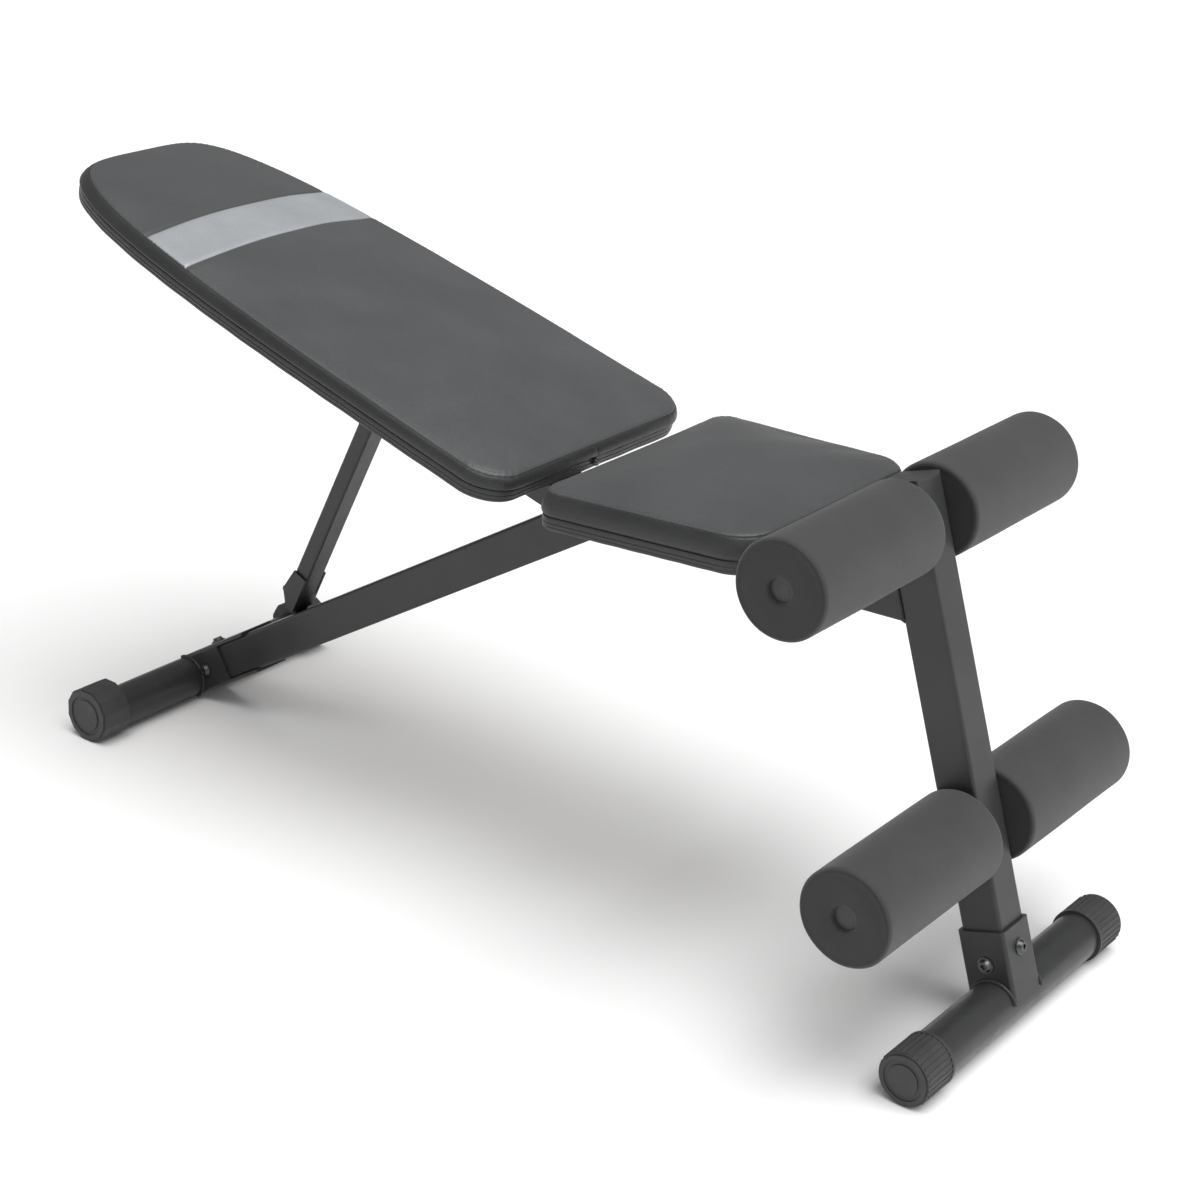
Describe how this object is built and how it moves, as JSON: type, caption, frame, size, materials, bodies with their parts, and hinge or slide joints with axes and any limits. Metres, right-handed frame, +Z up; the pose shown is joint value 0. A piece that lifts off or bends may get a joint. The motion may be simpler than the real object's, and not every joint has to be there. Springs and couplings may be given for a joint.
{
  "type": "decline sit up bench",
  "caption": "Decline sit up bench: level seat, raised padded backrest on a hinged strut, leaning post with upper and lower pairs of foam rollers, tubular feet.",
  "frame": {"origin": "on the floor, under the centre of the bench's bounding box", "axes": "+X towards the roller post, +Y to the user's left side when facing +X, +Z up"},
  "size_m": [1.2718, 0.486, 0.6673],
  "materials": {
    "frame_steel": "satin powder coat",
    "axle_steel": "plain",
    "bolt_steel": "black oxide",
    "cap_plastic": "matt moulded",
    "roller_foam": "fine-grained foam",
    "pad_vinyl": "stitched vinyl",
    "board_wood": "plain plywood"
  },
  "bodies": {
    "frame": {"front_foot_tube": "frame_steel", "front_cap_left": "cap_plastic", "front_cap_right": "cap_plastic", "front_socket": "frame_steel", "front_socket_bolts": "bolt_steel", "post": "frame_steel", "post_cap": "cap_plastic", "upper_axle": "axle_steel", "lower_axle": "axle_steel", "axle_plugs": "cap_plastic", "seat_beam": "frame_steel", "seat_bar_rear": "frame_steel", "seat_bar_front": "frame_steel", "seat_board": "board_wood", "seat_pad": "pad_vinyl", "seat_bolts": "bolt_steel", "main_tube": "frame_steel", "rear_socket": "frame_steel", "rear_socket_bolts": "bolt_steel", "rear_foot_tube": "frame_steel", "hinge_bolt": "bolt_steel"},
    "backrest": {"back_tube": "frame_steel", "hinge_plate_left": "frame_steel", "hinge_plate_right": "frame_steel", "back_bar_lower": "frame_steel", "back_bar_upper": "frame_steel", "back_board": "board_wood", "back_pad": "pad_vinyl", "back_bolts": "bolt_steel", "back_face_bolt": "bolt_steel", "strut_ear_left": "frame_steel", "strut_ear_right": "frame_steel", "strut_bolt": "bolt_steel"},
    "strut": {"strut_tube": "frame_steel", "strut_foot": "frame_steel"},
    "body_roller_upper_left": {"roller_upper_left": "roller_foam"},
    "body_roller_upper_right": {"roller_upper_right": "roller_foam"},
    "body_roller_lower_left": {"roller_lower_left": "roller_foam"},
    "body_roller_lower_right": {"roller_lower_right": "roller_foam"},
    "body_rear_cap_left": {"rear_cap_left": "cap_plastic"},
    "body_rear_cap_right": {"rear_cap_right": "cap_plastic"}
  },
  "joints": [
    {"name": "backrest_hinge", "type": "hinge", "parent": "frame", "child": "backrest", "pos_m": [0.08607, 0, 0.39559], "axis": [0, 1, 0], "range_deg": [0, 22]},
    {"name": "strut_pivot", "type": "hinge", "parent": "backrest", "child": "strut", "pos_m": [-0.2289, 0, 0.45186], "axis": [0, 1, 0], "range_deg": [0, 76]},
    {"name": "upper_left_roller_spin", "type": "hinge", "parent": "frame", "child": "body_roller_upper_left", "pos_m": [0.45954, 0.136, 0.49622], "axis": [0, 1, 0], "continuous": true},
    {"name": "upper_right_roller_spin", "type": "hinge", "parent": "frame", "child": "body_roller_upper_right", "pos_m": [0.45954, -0.136, 0.49622], "axis": [0, 1, 0], "continuous": true},
    {"name": "lower_left_roller_spin", "type": "hinge", "parent": "frame", "child": "body_roller_lower_left", "pos_m": [0.55418, 0.136, 0.19787], "axis": [0, 1, 0], "continuous": true},
    {"name": "lower_right_roller_spin", "type": "hinge", "parent": "frame", "child": "body_roller_lower_right", "pos_m": [0.55418, -0.136, 0.19787], "axis": [0, 1, 0], "continuous": true},
    {"name": "rear_left_cap_turn", "type": "hinge", "parent": "frame", "child": "body_rear_cap_left", "pos_m": [-0.517, 0.176, 0.0255], "axis": [0, 1, 0], "continuous": true},
    {"name": "rear_right_cap_turn", "type": "hinge", "parent": "frame", "child": "body_rear_cap_right", "pos_m": [-0.517, -0.176, 0.0255], "axis": [0, 1, 0], "continuous": true}
  ]
}
